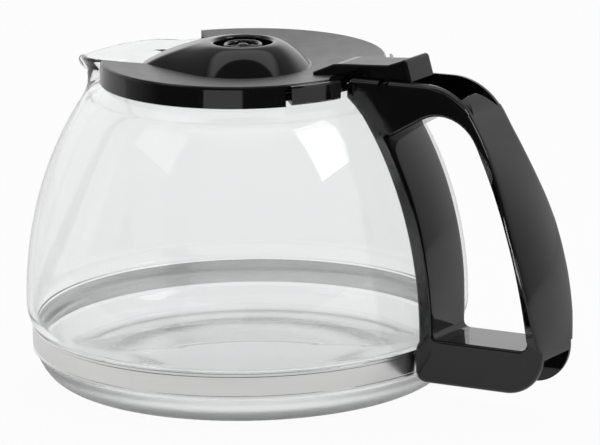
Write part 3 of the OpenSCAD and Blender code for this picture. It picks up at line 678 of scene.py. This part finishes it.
def handle(material):
    outline, window = handle_outline(), window_outline()
    piece = slab("moulded_handle", outline, HANDLE_HALF)
    ease_edges(piece, 1.8, 60, 5)
    cut(piece, slab("finger_opening", window, HANDLE_HALF + 2))
    ease_edges(piece, 1.1, 60, 4)
    wall = grow_outline(window, 2.5)
    hollow = slab("hollow", grow_outline(outline, 2), CHEEK_IN)
    cut(hollow, slab("window_wall", wall, CHEEK_IN + 1))
    strap = slab("grip_strap", GRIP_STRAP, CHEEK_IN + 1)
    cut(hollow, keep_common(strap, beam("strap_arch", STRAP_ARCH, 80, 130)))
    cut(hollow, slab("nose_wall", NOSE_WALL, CHEEK_IN + 1))
    cut(hollow, slab("screw_wall", SCREW_WALL, CHEEK_IN + 1))
    cut(piece, hollow)
    cut(piece, rod("pivot_seat", 2.0, PIVOT, "Y", 24))
    cut(piece, block("pivot_slot", (PIVOT[0] - 2.0, -12, PIVOT[2]), (PIVOT[0] + 2.0, 12, 112)))
    cut(piece, block("lug_slot", (48, -2.45, 103.9), (52.2, 2.45, 112)))
    cut(piece, rod("screw_hole", 2.2, (94, 0, 14.8), "X", 8))
    ease_edges(piece, 0.25, 70, 2)
    fuse(piece, grip_pad(), leg_pad())
    for x, z in LEVEL_MARKS:
        cut(piece, block("level_mark", (x - 1.7, -12, z - 0.25), (x + 1.7, 0.15 - HANDLE_HALF, z + 0.25)))
    polish(piece, 35)
    return hand_over(piece, "jug", material, "black_plastic", "handle")


# Lid
LID_R, LID_Z, DISH_Z = 49.0, 109.8, 107.0
DOME_R, NOSE_R, CROWN_R, CROWN_Z = 23.2, 34.3, 12.0, 115.0
WELL_R, WELL_FLOOR = 9.9, 108.6
SKIRT_START, SKIRT_END = 38.6, 143.0


def polar(radius, azimuth):
    a = math.radians(azimuth)
    return radius * math.cos(a), radius * math.sin(a)


def lid_plate():
    section = [(15, 105.4), (15, 106.2), (DOME_R, DISH_Z)]
    section += [(DOME_R + (47.4 - DOME_R) * i / 12, DISH_Z + 2.72 * (i / 12)) for i in range(1, 12)]
    section += bend((47.3, LID_Z - 0.06), (48.5, LID_Z + 0.06), (48.58, 108.6), 7)
    section += [(48.75, 106.1), (48.9, 103.9), (LID_R, 102.4), (48.3, 102.6), (47.6, 103.4), (47.3, 105.5),
                (47.0, 107.8), (44, 107.8), (40.8, 107.8), (32, 106.6), (DOME_R, 105.4)]
    piece = lathe("lid_plate", section, start=-SKIRT_END - 6, sweep=2 * SKIRT_END + 12, steps=160)
    ends = []
    turn = math.degrees(math.asin(2.5 / (LID_R - 2.2)))
    for side in (1, -1):
        middle = polar(LID_R - 2.2, side * (SKIRT_END - turn))
        corner = []
        for i in range(7):
            across, along_y = polar(2.5, side * (SKIRT_END - turn + 90 * i / 6))
            corner.append((middle[0] + across, middle[1] + along_y))
        ends.append([polar(60, side * (SKIRT_END - turn))] + corner
                    + [polar(10, side * SKIRT_END), polar(10, side * 170), polar(70, side * 170)])
    for number, outline in enumerate(ends):
        cut(piece, prism(f"plate_end_{number}", outline, 100, 112))
    notch = [(46.2, -17), (42, -9), (42, 9), (46.2, 17), (60, 22), (60, -22)]
    cut(piece, prism("lever_notch", notch, 100, 112))
    start, end = SKIRT_START, -SKIRT_START
    wedge = [polar(46.8, end), polar(60, end), polar(80, -10), polar(80, 10), polar(60, start),
             polar(46.8, start)]
    wedge += [polar(46.8, start + (end - start) * i / 12) for i in range(1, 12)]
    cut(piece, prism("skirt_gap", wedge, 100, 108.0))
    return piece


def dome_foot(azimuth):
    turned = abs(azimuth)
    tangent = SKIRT_END - math.degrees(math.acos(DOME_R / NOSE_R))
    if turned <= tangent:
        return DOME_R
    if turned <= SKIRT_END:
        return DOME_R / math.cos(math.radians(turned - tangent))
    return NOSE_R


def lid_dome():
    flank = []
    for i in range(15):
        u = 1 - i / 14
        flank.append((CROWN_R + (DOME_R - CROWN_R) * u, 106.3 + (CROWN_Z - 106.3) * (1 - u ** 1.5)))
    section = [(0, 107.0), (11.5, 107.0), (11.5, 112.2), (CROWN_R + 0.2, 113.0), (16, 111.4), (19.6, 108.6),
               (21.6, 105.6), (21.7, 105.3)]
    section += [(DOME_R, 105.3)] + flank
    section += [(11.5, 115.12), (10.9, 115.08), (10.35, 114.85), (10.0, 114.45), (WELL_R, 114.0),
                (WELL_R, 111.5), (WELL_R, 109.2), (WELL_R - 0.25, 108.8), (WELL_R - 0.6, WELL_FLOOR),
                (5, WELL_FLOOR), (0, WELL_FLOOR)]
    piece = lathe("lid_dome", section, steps=160)
    for vertex in piece.data.vertices:
        x, y, z = (c / MM for c in vertex.co)
        r, azimuth = math.hypot(x, y), math.degrees(math.atan2(y, x))
        if r <= CROWN_R:
            continue
        u = (r - CROWN_R) / (DOME_R - CROWN_R)
        new_r = r + (dome_foot(azimuth) - DOME_R) * u
        lift = (new_r - r) / (NOSE_R - DOME_R) * 1.0 * (1 - smoothstep(CROWN_Z - 6, CROWN_Z, z))
        a = math.radians(azimuth)
        vertex.co = Vector((new_r * math.cos(a), new_r * math.sin(a), z + lift)) * MM
    tidy_skin(piece)
    return piece


def on_dish(centre, normal):
    """True for the dished top of the plate and the lever's upper face, which get the satin plastic with its
    painted sheen.
    """
    if normal.z <= 0.95:
        return False
    dish = DISH_Z - 0.1 < centre.z < LID_Z + 0.2 and centre.xy.length > DOME_R
    return dish or centre.z > 113.1 and centre.x > 42


LEVER_SIDE = [(33, 109.4), (41.3, 112.9), (44.0, 113.2), (47, 113.5), (55, 114.1), (63, 114.8), (68.2, 116.8),
              (69.0, 117.15), (69.8, 117.2), (70.4, 116.4), (72.4, 109.6), (70.4, 106.8), (66.6, 104.6),
              (59.8, 104.6), (54, 105.4), (52.8, 107.9), (41.3, 107.9), (33, 107.9)]
LEVER_INSIDE = [(33, 107.6), (41.3, 111.1), (47, 111.7), (63, 113.0), (68.6, 114.2), (70.6, 109.6), (68.6, 103.2),
                (50, 100), (33, 100)]
PLUG_WALL = [(40.8, 101.7), (41.0, 101.5), (42.0, 101.5), (42.2, 101.7), (42.2, 108.3), (40.8, 108.3)]
NOSE_SKIRT = [(32.3, 101.7), (32.5, 101.5), (33.5, 101.5), (33.7, 101.7), (33.7, 107.1), (32.3, 107.1)]


def lid(material, satin_with_painted_sheen):
    piece = lid_plate()
    fuse(piece, lid_dome())
    lever = slab("lever", LEVER_SIDE, 7.2)
    ease_edges(lever, 0.7, 28, 3)
    fuse(piece, lever)
    fuse(piece, rod("pivot_boss", 3.0, PIVOT, "Y", 15.4), rod("pivot_stub", 1.9, PIVOT, "Y", 20.6))
    cut(piece, slab("lever_inside", LEVER_INSIDE, 5.4))
    for number in range(3):
        slot = []
        for i in range(9):
            slot.append(polar(8.8, 30 + 120 * number + 65 * (i / 8 - 0.5) * 1.4))
        for i in range(8, -1, -1):
            slot.append(polar(3.8, 30 + 120 * number + 60 * (i / 8 - 0.5) * 1.2))
        cut(piece, prism(f"drip_slot_{number}", slot[::-1], 104, 109.4))
    wall = lathe("plug_wall", PLUG_WALL, start=-141, sweep=282, steps=120)
    nose = lathe("nose_skirt", NOSE_SKIRT, start=140, sweep=80, steps=40)
    fuse(piece, wall, nose)
    for side in (1, -1):
        a, b = side * 141.5, side * 139.7
        outline = [polar(32.6, a), polar(42.0, a), polar(42.0, b), polar(32.6, b)]
        fuse(piece, prism("plug_side", outline if side > 0 else outline[::-1], 101.6, 107.9))
    ease_edges(piece, 0.22, 62, 2)
    polish(piece, 35)
    hand_over(piece, "lid_body", material, "black_plastic", "lid")
    # The upward faces get the satin plastic, whose grey base is a painted sheen.
    add_finish(piece, satin_with_painted_sheen, on_dish)
    return piece


WHEEL_R, WHEEL_Z = 6.0, 113.4
HUB = [(0, 107.0), (1.4, 107.0), (1.4, 108.6), (2.0, 108.7), (1.9, 112.9), (1.8, 113.9), (1.3, 114.3), (0, 114.4)]


def inlet_wheel(material):
    turns = [math.radians(30 * i) for i in range(12)]
    ring = [(WHEEL_R + 0.85 * math.cos(a), WHEEL_Z + 1.0 * math.sin(a)) for a in turns]
    piece = lathe("inlet_wheel_ring", ring, steps=72)
    for number in range(3):
        spoke = rod("spoke", 0.75, (3.1, 0, 113.35), "X", 6.0, 20)
        turn = Matrix.Rotation(math.radians(125 + 120 * number), 4, "Z")
        spoke.data.transform(turn)
        fuse(piece, spoke)
    fuse(piece, lathe("hub", HUB, steps=48))
    polish(piece, 45, weighted=False)
    return hand_over(piece, "lid_body", material, "black_plastic", "inlet_wheel")


# Studio: a white backdrop behind the jug, a pale table, softboxes and a dark room in front
def node_math(nodes, links, operation, first, second):
    """A Math node on two values, each a socket or a number."""
    node = nodes.new("ShaderNodeMath")
    node.operation = operation
    for socket, value in zip(node.inputs, (first, second)):
        if isinstance(value, (int, float)):
            socket.default_value = value
        else:
            links.new(value, socket)
    return node.outputs[0]


def white_backdrop_share(nodes, links, in_gloss):
    """1 for rays that see the backdrop directly or through glass, and a share for reflected ones."""
    path = nodes.new("ShaderNodeLightPath")
    direct, refracted = path.outputs["Is Camera Ray"], path.outputs["Is Transmission Ray"]
    through = node_math(nodes, links, "MAXIMUM", direct, refracted)
    reflected = node_math(nodes, links, "MULTIPLY", path.outputs["Is Glossy Ray"], in_gloss)
    return node_math(nodes, links, "MAXIMUM", through, reflected)


def pale_surface(name, in_gloss):
    """White table paint that keeps a shadow; in_gloss is how much of its glow the gloss sees."""
    material, nodes, links, shader = new_material(name)
    shader.inputs["Base Color"].default_value = (0.9, 0.9, 0.9, 1)
    shader.inputs["Roughness"].default_value = 0.9
    glow = nodes.new("ShaderNodeEmission")
    glow.inputs["Color"].default_value = (1, 1, 1, 1)
    glow.inputs["Strength"].default_value = 1.0
    share = node_math(nodes, links, "MULTIPLY", white_backdrop_share(nodes, links, in_gloss), TABLE_GLOW)
    mix = nodes.new("ShaderNodeMixShader")
    links.new(share, mix.inputs["Fac"])
    links.new(shader.outputs["BSDF"], mix.inputs[1])
    links.new(glow.outputs["Emission"], mix.inputs[2])
    links.new(mix.outputs["Shader"], nodes["Material Output"].inputs["Surface"])
    return material


def pale_table():
    """The table ends a little in front of the jug; a tongue of it runs out under the camera."""
    select_none()
    bpy.ops.mesh.primitive_plane_add(size=12, location=(0, 6 - TABLE_FRONT, -0.0002))
    table = bpy.context.object
    table.name = "pale_table"
    bpy.ops.object.transform_apply(location=True, rotation=True, scale=True)
    table.data.materials.append(pale_surface("pale_table", TABLE_IN_GLOSS))
    tongue = wire_loop("table_tongue", [Vector((*polar(r, a), -0.0002)) / MM for r, a in TONGUE])
    bpy.ops.object.mode_set(mode="EDIT")
    bpy.ops.mesh.select_all(action="SELECT")
    bpy.ops.mesh.edge_face_add()
    bpy.ops.object.mode_set(mode="OBJECT")
    tongue.data.materials.append(pale_surface("table_tongue", TONGUE_IN_GLOSS))


def along_axis(nodes, links, direction, axis):
    """How far a direction points along a fixed axis, from -1 to 1."""
    node = nodes.new("ShaderNodeVectorMath")
    node.operation = "DOT_PRODUCT"
    node.inputs[1].default_value = axis
    links.new(direction, node.inputs[0])
    return node.outputs["Value"]


def room():
    """White all round for the camera and through glass. The gloss sees a backdrop behind the jug, a bright
    ceiling with a dark gap in it, and a dark room in front."""
    world = bpy.data.worlds.new("studio_room")
    world.use_nodes = True
    bpy.context.scene.world = world
    nodes, links = world.node_tree.nodes, world.node_tree.links
    background = nodes["Background"]
    background.inputs["Color"].default_value = (1, 1, 1, 1)
    direction = nodes.new("ShaderNodeTexCoord").outputs["Generated"]

    def towards(axis):
        return along_axis(nodes, links, direction, axis)

    def combine(operation, first, second):
        return node_math(nodes, links, operation, first, second)

    height = towards((0, 0, 1))
    backdrop = remap(nodes, links, towards(BACKDROP_SIDE), 0.08, 1.2, -0.4, 1.0)
    backdrop_top = remap(nodes, links, height, 1.0, 0.4, 0.42, 0.62)
    backdrop_foot = remap(nodes, links, height, 0.7, 1.15, -0.2, 0.35)
    walls = combine("MULTIPLY", combine("MULTIPLY", backdrop, backdrop_foot), backdrop_top)
    lengthways = combine("DIVIDE", towards(GAP_LENGTHWAYS), GAP_HALF_LENGTH)
    crossways = combine("DIVIDE", combine("SUBTRACT", towards(GAP_CROSSWAYS), GAP_MIDDLE), GAP_HALF_WIDTH)
    gap = combine("ADD", combine("MULTIPLY", lengthways, lengthways), combine("MULTIPLY", crossways, crossways))
    ceiling_light = remap(nodes, links, gap, 0.1, CEILING_LEVEL, 0.85, 1.15)
    ceiling_edge = remap(nodes, links, height, 0.0, 1.0, 0.76, 0.84)
    below_edge = combine("MULTIPLY", walls, combine("SUBTRACT", 1.0, ceiling_edge))
    reflected = combine("MAXIMUM", below_edge, combine("MULTIPLY", ceiling_light, ceiling_edge))
    level = nodes.new("ShaderNodeMix")
    links.new(white_backdrop_share(nodes, links, 0.0), level.inputs["Factor"])
    links.new(reflected, level.inputs["A"])
    level.inputs["B"].default_value = 1.0
    links.new(level.outputs["Result"], background.inputs["Strength"])


def softbox(name, azimuth, elevation, distance, size, radiance):
    """A rectangular lamp that faces the jug; radiance is how bright its face looks."""
    a, e = math.radians(azimuth), math.radians(elevation)
    place = Vector((math.cos(e) * math.cos(a), math.cos(e) * math.sin(a), math.sin(e))) * distance
    lamp = bpy.data.lights.new(name, "AREA")
    lamp.shape = "RECTANGLE"
    lamp.size, lamp.size_y = size
    lamp.energy = math.pi * size[0] * size[1] * radiance
    holder = bpy.data.objects.new(name, lamp)
    bpy.context.scene.collection.objects.link(holder)
    holder.location = place
    holder.rotation_euler = (-place).to_track_quat("-Z", "Y").to_euler()


TABLE_FRONT = 0.27
TABLE_GLOW = 0.95
TONGUE = [(0.34, -88), (3.0, -86), (3.0, -56), (0.34, -58)]
TABLE_IN_GLOSS = 0.45
TONGUE_IN_GLOSS = 0.9
BACKDROP_SIDE = (-0.5, 0.866, 0.0)
CEILING_LEVEL = 1.05
GAP_LENGTHWAYS, GAP_HALF_LENGTH = (0.819, 0.574, 0.0), 0.6
GAP_CROSSWAYS, GAP_MIDDLE, GAP_HALF_WIDTH = (0.574, -0.819, 0.0), 0.18, 0.21


def studio():
    pale_table()
    room()
    softbox("window_softbox", 8, 45, 1.8, (0.7, 0.75), 3.6)
    softbox("left_softbox", -124, 44, 1.9, (0.9, 0.5), 0.7)
    bpy.context.scene.view_settings.view_transform = "Standard"


set_camera()
plastic = black_plastic("gloss_black_plastic", 0.05, 0.1, 0.02)
# Satin plastic for the lid's top faces: rougher, and its grey base is a painted sheen.
satin_plastic_painted_sheen = black_plastic("satin_black_plastic_painted_sheen", 0.36, 0.42, 0.06, 1.0, 0.045)
glass = blown_glass("clear_glass", 0.0)
stippled = blown_glass("stippled_glass", 0.35)
band_steel = brushed_band_steel()
plated = zinc_plated_steel()

glass_vessel(glass, stippled)
base_band(band_steel)
handle(plastic)
lid(plastic, satin_plastic_painted_sheen)
inlet_wheel(plastic)
for node, finish in (("neck_collar", plastic), ("clamp_nut", plated), ("clamp_screw", plated)):
    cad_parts[node].data.materials.clear()
    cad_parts[node].data.materials.append(finish)
studio()
